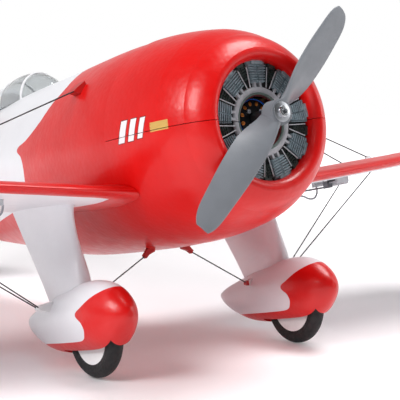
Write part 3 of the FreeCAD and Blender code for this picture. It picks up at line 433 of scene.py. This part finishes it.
def make_materials():
    """Every finish, by the key that NODE_MATERIALS and finish_piece() use."""
    m = {}
    # Expanded foam in gloss enamel: deep colour, a soft shine broken by the beads below.
    for key, name, white in (("hull", "hull", hull_white), ("wing", "wing", wing_white),
                             ("tail", "stabiliser", tail_white), ("fin", "fin", fin_white),
                             ("spat", "spat", spat_white), ("leg", "leg", all_white)):
        m[key] = painted_foam("enamelled_foam_" + name, red_and_white(white))
    m["cowl"] = painted_foam("enamelled_foam_cowl", cowl_colour, 1.42, 0.12, 0.1)
    # Feet: injection moulded nylon, satin, in the colour of the foam beside them.
    m["foot"] = surface("moulded_nylon_foot", Base_Color=foot_colour, Roughness=0.4, IOR=1.53,
                        Normal=grain(0.4, 0.01))
    # Propeller: glass filled nylon, satin, with a faint flow pattern along the blade.
    m["prop"] = surface("glass_filled_nylon", Base_Color=mottled("6c7076", "7a7e84", 9),
                        Roughness=ranged(0.38, 0.5, 3), IOR=1.53, Normal=grain(0.5, 0.015))
    # Engine front: thin vacuum formed sheet, printed in blotchy greys that read as metal in shadow. The
    # rear row of cylinders is a much darker copy of the front heads' greys: painted shade behind the
    # front row.
    for key, name, low, high, size, rough, height in (
            ("print", "printed_vac_sheet", "08090a", "1d2224", 1.6, 0.45, (1.2, 0.05)),
            ("head", "printed_cylinder_head", "35464c", "9fb2bb", 2.2, 0.4, (0.8, 0.04)),
            # Rear row: the front heads' greys made much darker, as painted shade.
            ("far_head", "far_cylinder_painted_shade", "0e1213", "3c4a46", 1.8, 0.45, (0.8, 0.04)),
            ("case", "printed_crankcase_ring", "8e9096", "b4b5bb", 2.5, 0.42, (0.9, 0.02)),
            ("lip", "printed_case_lip", "46544f", "6d7d77", 2, 0.45, (0.8, 0.02))):
        m[key] = surface(name, Base_Color=mottled(low, high, size), Roughness=rough, IOR=1.46,
                         Normal=grain(*height))
    m["pushrod"] = surface("printed_pushrod_tube", Base_Color=mottled("8f9298", "c9cbd0", 1.2),
                           Roughness=0.35, IOR=1.46)
    # Rim inside the ring: the same enamel, darker where little light gets in.
    m["rim"] = surface("dark_red_inner_rim", Base_Color=mottled("4a0a0c", "6a1012", 2), Roughness=0.4,
                       IOR=1.5, Normal=grain(0.6, 0.01))
    # Motor bell: black anodised aluminium, turned, with fine rings that stretch its highlight.
    m["bell"] = surface("black_anodised_bell", Base_Color=mottled("0b0c0f", "15171c", 2), Metallic=0.6,
                        Roughness=0.3, Normal=grain(0.3, 0.004, 1.0, (6, 1, 1)))
    # Band and windings: saturated blue metal, and varnished copper with a warm gleam.
    m["blue"] = surface("blue_anodised_aluminium", Base_Color=mottled("1b3f86", "2a5cb4", 2),
                        Metallic=1.0, Roughness=0.28, Normal=grain(0.3, 0.004))
    m["copper"] = surface("enamelled_copper_wire", Base_Color=mottled("8a4a1c", "c4762e", 0.8),
                          Metallic=0.8, Roughness=0.32, Normal=grain(0.4, 0.03))
    # Fasteners and metal fittings: plated or turned, each with its own grey and its own gloss.
    m["steel"] = surface("bright_steel", Base_Color=mottled("b4b6ba", "cfd1d4", 2), Metallic=1.0,
                         Roughness=ranged(0.2, 0.32, 1), Normal=grain(0.4, 0.005))
    m["alloy"] = surface("turned_aluminium", Base_Color=mottled("9da0a5", "b9bcc1", 2), Metallic=1.0,
                         Roughness=0.3, Normal=grain(0.35, 0.006, 1.0, (1, 5, 1)))
    m["wire"] = surface("spring_steel_wire", Base_Color=mottled("6d7075", "8a8d92", 3), Metallic=1.0,
                        Roughness=0.3, Normal=grain(0.4, 0.004, 1.0, (1, 0.2, 1)))
    m["magnet"] = surface("nickel_plated_magnet", Base_Color=mottled("b6b3ab", "cfccc5", 1.5),
                          Metallic=1.0, Roughness=0.16, Normal=grain(0.5, 0.003))
    m["brass"] = surface("turned_brass", Base_Color=mottled("a8843a", "c7a353", 1.5), Metallic=1.0,
                         Roughness=0.28, Normal=grain(0.3, 0.005))
    # Inside: bare plywood, a shrink sleeve that wrinkles over the cells, and a woven strap.
    m["plywood"] = surface("birch_plywood", Base_Color=plies, Roughness=0.62, IOR=1.5,
                           Normal=grain(0.6, 0.03, 3.0, (0.2, 1, 1)))
    m["battery"] = surface("blue_shrink_sleeve", Base_Color=mottled("16346f", "1f4790", 8),
                           Roughness=ranged(0.2, 0.34, 4), IOR=1.5, Normal=grain(5, 0.25))
    m["strap"] = surface("woven_hook_strap", Base_Color=mottled("17171a", "26262a", 1.2),
                         Roughness=0.85, IOR=1.5, Sheen_Weight=0.3, Normal=relief(strap_weave, 0.15))
    m["board"] = surface("green_solder_mask", Base_Color=board_colour, Roughness=0.32, IOR=1.5,
                         Normal=grain(1.2, 0.05))
    # Small mouldings: satin grey housings and slippery white nylon.
    m["servo"] = surface("grey_servo_moulding", Base_Color=mottled("aeb1b6", "c0c3c7", 3),
                         Roughness=0.42, IOR=1.53, Normal=grain(0.5, 0.02))
    m["horn"] = surface("white_nylon_horn", Base_Color=mottled("dededc", "efefed", 3), Roughness=0.38,
                        IOR=1.53, Normal=grain(0.5, 0.01))
    m["hub"] = surface("white_nylon_hub", Base_Color=mottled("e4e4e4", "f4f4f4", 4), Roughness=0.35,
                       IOR=1.53, Normal=grain(0.6, 0.01))
    # Wing spar: carbon strands set in resin, dark with a clear skin.
    m["carbon"] = surface("pultruded_carbon", Base_Color=carbon, Roughness=0.33, IOR=1.55,
                          Coat_Weight=0.3, Coat_Roughness=0.1,
                          Normal=grain(0.4, 0.01, 1.0, (0.1, 1, 1)))
    # Tyres: foam rubber, dull and slightly open.
    m["tyre"] = surface("black_foam_rubber", Base_Color=mottled("101011", "1d1d1f", 3),
                        Roughness=ranged(0.6, 0.8, 2), IOR=1.5, Normal=grain(0.7, 0.08))
    m["tail_wheel"] = surface("foam_tail_wheel", Base_Color=wheel_colour, Roughness=ranged(0.5, 0.7, 2),
                              IOR=1.5, Normal=grain(0.6, 0.04))
    # Canopy: clear vacuum formed sheet, a little wavy, in painted frames over a dull black tub.
    m["canopy"] = surface("clear_vac_formed_sheet", Base_Color=shade("f4f7f8"), Roughness=0.06,
                          IOR=1.49, Transmission_Weight=0.92, Normal=grain(7, 0.04))
    m["frame"] = surface("white_canopy_frame", Base_Color=mottled("e4e4e8", "f2f2f5", 4),
                         Roughness=0.35, IOR=1.5, Normal=grain(0.8, 0.01))
    m["cockpit"] = surface("black_moulded_cockpit", Base_Color=mottled("141416", "232327", 3),
                           Roughness=0.6, IOR=1.5, Normal=grain(0.6, 0.04))
    # Rigging and leads: braided black cord, and a soft grey sleeve.
    m["rigging"] = surface("black_braided_cord", Base_Color=mottled("1c1c1e", "343438", 1),
                           Roughness=0.6, IOR=1.5, Normal=relief(braid_height, 0.08))
    m["sleeve"] = surface("grey_lead_sleeve", Base_Color=mottled("8d9096", "a4a7ad", 1.5),
                          Roughness=0.45, IOR=1.5, Normal=grain(0.6, 0.03))
    return m


NODE_MATERIALS = {
    "hull": ["fuselage_left", "fuselage_right"],
    "cowl": ["cowl_lower", "hatch"],
    "wing": ["wing_left", "wing_right", "aileron_left", "aileron_right"],
    "tail": ["stabiliser", "elevator"],
    "fin": ["fin", "rudder"],
    "spat": ["spat_left", "spat_right"],
    "leg": ["leg_left", "leg_right"],
    "foot": ["wire_feet"],
    "prop": ["propeller"],
    "print": ["engine_face_lower", "engine_face_upper"],
    "bell": ["motor_bell"],
    "copper": ["motor_stator"],
    "alloy": ["motor_mount", "prop_adapter"],
    "steel": ["prop_screw"],
    "wire": ["gear_wire_left", "gear_wire_right", "tail_wheel_leg", "aileron_pushrod_left",
             "aileron_pushrod_right", "elevator_pushrod", "rudder_pushrod"],
    "magnet": ["cowl_magnets", "hatch_magnets"],
    "brass": ["wheel_collars"],
    "plywood": ["firewall", "battery_tray"],
    "battery": ["battery"],
    "strap": ["battery_strap"],
    "board": ["control_board"],
    "servo": ["aileron_servo_left", "aileron_servo_right", "elevator_servo", "rudder_servo"],
    "horn": ["aileron_horn_left", "aileron_horn_right", "elevator_horn", "rudder_horn"],
    "carbon": ["wing_spar"],
    "tyre": ["tyre_left", "tyre_right"],
    "hub": ["wheel_hub_left", "wheel_hub_right"],
    "tail_wheel": ["tail_wheel"],
    "canopy": ["canopy"],
    "cockpit": ["cockpit_tub"],
    "rigging": ["bracing_wires"],
}


def dress_nodes():
    """Gives every piece of the model its own finish."""
    for key, names in NODE_MATERIALS.items():
        for name in names:
            obj = frame["nodes"][name]
            obj.data.materials.clear()
            obj.data.materials.append(MATERIALS[key])


# ---------------------------------------------------------------- modelling helpers

def start(kind, name, **size):
    """Adds a primitive at its size and place in the flight frame, with nothing else selected."""
    bpy.ops.object.select_all(action="DESELECT")
    getattr(bpy.ops.mesh, "primitive_" + kind + "_add")(**size)
    bpy.context.object.name = name
    return bpy.context.object


def apply_place(obj):
    bpy.ops.object.select_all(action="DESELECT")
    obj.select_set(True)
    bpy.context.view_layer.objects.active = obj
    bpy.ops.object.transform_apply(location=True, rotation=True, scale=True)


def edit_faces(obj, wanted):
    """Opens a piece in edit mode with just the faces picked that the test accepts."""
    bpy.context.view_layer.objects.active = obj
    obj.select_set(True)
    bpy.ops.object.mode_set(mode="EDIT")
    bpy.ops.mesh.select_mode(type="FACE")
    bpy.ops.mesh.select_all(action="DESELECT")
    bpy.ops.object.mode_set(mode="OBJECT")
    for face in obj.data.polygons:
        face.select = bool(wanted(face))
    bpy.ops.object.mode_set(mode="EDIT")


def done():
    bpy.ops.object.mode_set(mode="OBJECT")


def modify(obj, kind, **settings):
    modifier = obj.modifiers.new(kind.lower(), kind)
    for name, value in settings.items():
        setattr(modifier, name, value)
    bpy.context.view_layer.objects.active = obj
    bpy.ops.object.modifier_apply(modifier=modifier.name)


def join(name, pieces):
    bpy.ops.object.select_all(action="DESELECT")
    for piece in pieces:
        piece.select_set(True)
    bpy.context.view_layer.objects.active = pieces[0]
    bpy.ops.object.join()
    pieces[0].name = name
    return pieces[0]


def copy_turned(obj, matrix):
    """A copy with its own mesh, moved by a matrix in the flight frame."""
    other = obj.copy()
    other.data = obj.data.copy()
    SCENE.collection.objects.link(other)
    other.data.transform(matrix)
    return other


def keep_side(obj, sign, gap=0.16):
    """Cuts a piece along the hatch's seam and closes the cut; keeps the side that sign names."""
    edit_faces(obj, lambda face: True)
    bpy.ops.mesh.bisect(plane_co=(0, 0, sign * gap), plane_no=(0, 0, 1), use_fill=True,
                        clear_inner=sign > 0, clear_outer=sign < 0)
    done()


def finish_piece(obj, body, material, smooth=35):
    """Turns normals outward, stands the piece on the ground and gives it body and finish."""
    apply_place(obj)
    edit_faces(obj, lambda face: True)
    bpy.ops.mesh.remove_doubles(threshold=0.0005)
    bpy.ops.mesh.normals_make_consistent(inside=False)
    done()
    obj.data.transform(STAND)
    obj.data.materials.clear()
    obj.data.materials.append(MATERIALS[material])
    bpy.ops.object.select_all(action="DESELECT")
    obj.select_set(True)
    bpy.context.view_layer.objects.active = obj
    bpy.ops.object.shade_smooth_by_angle(angle=math.radians(smooth))
    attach(obj, body)


def around(angle, up=0.0):
    """Turn about the fore and aft axis, seen from ahead, at a height above the middle."""
    return Matrix.Translation((0, 0, up)) @ Matrix.Rotation(math.radians(angle), 4, "Y")


# ---------------------------------------------------------------- servo leads

# Route of the left lead in its wing's frame: out from the root, aft, up.
LEAD = [(44.2, 86, 1.2), (44.2, 86, -3.2), (45.2, 86.2, -6.6), (48.6, 86.5, -8.3), (52.4, 86.3, -8.7),
        (55.9, 86.1, -11.0), (59.9, 85.9, -11.4), (62.4, 85.4, -8.2), (61.4, 84.8, -4.6),
        (60, 82, -3.6)]
LEAD_THICK = 1.0
WING_ROOT = (40, 0, -24)
DIHEDRAL = 5.3


def wing_to_flight(side, out, aft, up):
    tilt = math.radians(DIHEDRAL)
    return Vector((side * (WING_ROOT[0] + out * math.cos(tilt) - up * math.sin(tilt)), aft,
                   WING_ROOT[2] + out * math.sin(tilt) + up * math.cos(tilt)))


def servo_lead(word, side):
    """Three wires in one sleeve, from a hole in the wing round a slack loop to the servo."""
    route = [STAND @ wing_to_flight(side, *point) for point in LEAD]
    data = bpy.data.curves.new("lead_" + word, "CURVE")
    data.dimensions = "3D"
    data.bevel_depth = LEAD_THICK / 2 * MM
    data.bevel_resolution = 5
    data.use_fill_caps = True
    spline = data.splines.new("NURBS")
    spline.points.add(len(route) - 1)
    for point, place in zip(spline.points, route):
        point.co = (*place, 1)
    spline.order_u = 3
    spline.use_endpoint_u = True
    spline.resolution_u = 12
    obj = bpy.data.objects.new("servo_lead_sleeve_" + word, data)
    SCENE.collection.objects.link(obj)
    data.materials.append(MATERIALS["sleeve"])
    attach(obj, "airframe")
    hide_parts("servo_lead_" + word)


# ---------------------------------------------------------------- printed engine

CYLINDERS = 9
STEP_ROUND = 360 / CYLINDERS
PLATE = 4.98          # just ahead of the printed plate, where the cylinders stand
HEAD_FOOT = 16.8      # radius where a front cylinder starts
FAR_FOOT = 18.6       # radius where a rear cylinder starts
HEAD_TOP = 26.2
HEAD_TAPER = 0.67     # width at the foot, as a part of the width at the top
FORE_AND_AFT = (math.radians(90), 0, 0)   # stands a primitive's own axis fore and aft


def block(name, low, high):
    """A box between two corners, in millimetres."""
    centre = [(a + b) / 2 for a, b in zip(low, high)]
    size = [b - a for a, b in zip(low, high)]
    obj = start("cube", name, size=1, location=centre)
    obj.scale = size
    apply_place(obj)
    return obj


def taper(obj, low, high, thin):
    """Narrows a piece across, evenly from its full width at one radius to a part of it at another."""
    for vertex in obj.data.vertices:
        share = (vertex.co.z - low) / (high - low)
        vertex.co.x *= thin + (1 - thin) * share


def all_round(obj, turn=0.0):
    """Copies of a piece at every cylinder; the first stays at the top unless turned."""
    pieces = [copy_turned(obj, around(turn + STEP_ROUND * number)) for number in range(CYLINDERS)]
    bpy.data.objects.remove(obj)
    return pieces


def finned_head(name, low, high, half, ridges, front, back):
    """One cylinder seen from ahead: a slab crossed by cooling fins, with a cover at its top."""
    pieces = [block(name, (-half, front + 0.9, low), (half, back, high))]
    pitch = (high - low - 1.4) / ridges
    for number in range(ridges):
        z = low + 0.3 + number * pitch
        for side in (-1, 1):
            ends = sorted((side * 0.35, side * (half + 0.25)))
            pieces.append(block("cooling_fin", (ends[0], front, z),
                                (ends[1], front + 1, z + pitch * 0.5)))
    pieces.append(block("rocker_cover", (-half * 0.62, front - 0.3, high - 1.5),
                        (half * 0.62, front + 1, high + 0.3)))
    head = join(name, pieces)
    taper(head, low, high, HEAD_TAPER)
    modify(head, "BEVEL", width=0.1, segments=1)
    return head


def ring(name, radius, thick, aft, flat=1.0, parts=96):
    obj = start("torus", name, major_radius=radius, minor_radius=thick, major_segments=parts,
                minor_segments=14, rotation=FORE_AND_AFT)
    apply_place(obj)
    for vertex in obj.data.vertices:
        vertex.co.y = aft + vertex.co.y * flat
    return obj


def stick(name, start_point, end_point, radius, sides=12):
    """A round rod between two points."""
    first, last = Vector(start_point), Vector(end_point)
    obj = start("cylinder", name, vertices=sides, radius=radius, depth=(last - first).length,
                location=(first + last) / 2,
                rotation=(last - first).to_track_quat("Z", "Y").to_euler())
    apply_place(obj)
    return obj


def halves(obj, name, material):
    """The lower half stays with the cowl, the upper half lifts off with the hatch."""
    other = copy_turned(obj, Matrix())
    other.name, obj.name = name + "_upper", name + "_lower"
    keep_side(other, 1)
    keep_side(obj, -1)
    finish_piece(other, "hatch", material)
    finish_piece(obj, "airframe", material)


def printed_engine():
    """Nine finned cylinders, a second row behind them, and the crankcase ring."""
    near = all_round(finned_head("cylinder_head", HEAD_FOOT, HEAD_TOP, 5, 7, 2.5, PLATE))
    halves(join("cylinder_heads", near), "cylinder_heads", "head")
    far = all_round(finned_head("far_head", FAR_FOOT, HEAD_TOP, 3.3, 5, 3.6, PLATE), STEP_ROUND / 2)
    halves(join("far_heads", far), "far_heads", "far_head")
    teeth = [block("tooth", (side - 0.55, 3.2, 14.4), (side + 0.55, 4.9, 17.4)) for side in (-1.5, 1.5)]
    teeth = all_round(join("tooth", teeth))
    case = join("crankcase", [ring("case_ring", 13.9, 1.35, 4.2, 0.85)] + teeth)
    halves(case, "crankcase_ring", "case")
    halves(ring("lip_ring", 12.3, 0.6, 4.1), "crankcase_lip", "lip")
    halves(ring("rim_ring", 11.5, 0.35, 4.7), "inner_rim", "rim")
    rods = [stick("tube", (side * 0.9, 3.3, 15.3), (side * 2.6, 2.9, 24), 0.24) for side in (-1, 1)]
    tubes = join("tubes", all_round(join("tube", rods), STEP_ROUND / 2))
    halves(tubes, "pushrod_tubes", "pushrod")


MOTOR_FRONT = 8
HUB_FRONT = -PROP_AHEAD - 3.25
BOLT_CIRCLE = 4.6
WINDING_CIRCLE = 6.9


def motor_face():
    """What shows of the motor through the ring: bell face with screws, windings, blue band."""
    screws = []
    windings = []
    for number in range(4):
        turn = around(45 + 90 * number, SHAFT_UP)
        head = start("cylinder", "motor_screw", vertices=24, radius=1.0, depth=0.7,
                     location=(0, MOTOR_FRONT - 0.35, BOLT_CIRCLE), rotation=FORE_AND_AFT)
        hexagon = start("cylinder", "hexagon", vertices=6, radius=0.55, depth=0.8,
                        location=(0, MOTOR_FRONT - 0.7, BOLT_CIRCLE), rotation=FORE_AND_AFT)
        apply_place(head)
        apply_place(hexagon)
        modify(head, "BOOLEAN", object=hexagon, operation="DIFFERENCE")
        bpy.data.objects.remove(hexagon)
        head.data.transform(turn)
        screws.append(head)
    finish_piece(join("motor_screws", screws), "propeller", "steel")
    for number in range(12):
        coil = start("uv_sphere", "coil", segments=14, ring_count=8, radius=0.75,
                     location=(0, MOTOR_FRONT - 0.05, WINDING_CIRCLE))
        coil.scale = (1.1, 0.35, 1.4)
        apply_place(coil)
        coil.data.transform(around(15 + 30 * number, SHAFT_UP))
        windings.append(coil)
    finish_piece(join("motor_windings", windings), "propeller", "copper")
    band_ring = ring("bell_band", 8.7, 0.32, MOTOR_FRONT + 0.1)
    band_ring.data.transform(Matrix.Translation((0, 0, SHAFT_UP)))
    finish_piece(band_ring, "propeller", "blue")


def hub_screw():
    """Hub plate, and a socket head screw that holds the propeller."""
    plate = start("cylinder", "hub_plate", vertices=64, radius=4.4, depth=0.6,
                  location=(0, HUB_FRONT - 0.25, SHAFT_UP), rotation=FORE_AND_AFT)
    apply_place(plate)
    modify(plate, "BEVEL", width=0.2, segments=2)
    finish_piece(plate, "propeller", "alloy")
    screw = start("cylinder", "hub_screw", vertices=48, radius=2.5, depth=1.9,
                  location=(0, HUB_FRONT - 1.02, SHAFT_UP), rotation=FORE_AND_AFT)
    hexagon = start("cylinder", "hexagon", vertices=6, radius=1.35, depth=2,
                    location=(0, HUB_FRONT - 1.6, SHAFT_UP), rotation=FORE_AND_AFT)
    apply_place(screw)
    apply_place(hexagon)
    modify(screw, "BEVEL", width=0.18, segments=2, limit_method="ANGLE")
    modify(screw, "BOOLEAN", object=hexagon, operation="DIFFERENCE")
    bpy.data.objects.remove(hexagon)
    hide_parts("prop_screw")
    finish_piece(screw, "propeller", "steel")


# ---------------------------------------------------------------- canopy frames

CANOPY = Vector((0, 205, 44))
BUBBLE = Vector((14, 32, 17))


def canopy_frame(name, low, high):
    """A thin strip laid over the canopy between two stations."""
    obj = start("uv_sphere", name, segments=96, ring_count=64, radius=1, location=CANOPY)
    obj.scale = BUBBLE + Vector((0.22, 0.22, 0.22))
    apply_place(obj)
    edit_faces(obj, lambda face: True)
    bpy.ops.mesh.bisect(plane_co=(0, low, 0), plane_no=(0, 1, 0), clear_inner=True)
    bpy.ops.mesh.select_all(action="SELECT")
    bpy.ops.mesh.bisect(plane_co=(0, high, 0), plane_no=(0, 1, 0), clear_outer=True)
    bpy.ops.mesh.select_all(action="SELECT")
    bpy.ops.mesh.bisect(plane_co=(0, 0, CANOPY.z), plane_no=(0, 0, 1), clear_inner=True)
    done()
    modify(obj, "SOLIDIFY", thickness=0.35, offset=1)
    return obj


def canopy_frames():
    strips = [canopy_frame("front_frame", 190.6, 192.4), canopy_frame("rear_frame", 216.6, 218.4)]
    finish_piece(join("canopy_frames", strips), "airframe", "frame")


MATERIALS = make_materials()
camera()
room()
dress_nodes()
servo_lead("left", 1)
servo_lead("right", -1)
printed_engine()
motor_face()
hub_screw()
canopy_frames()
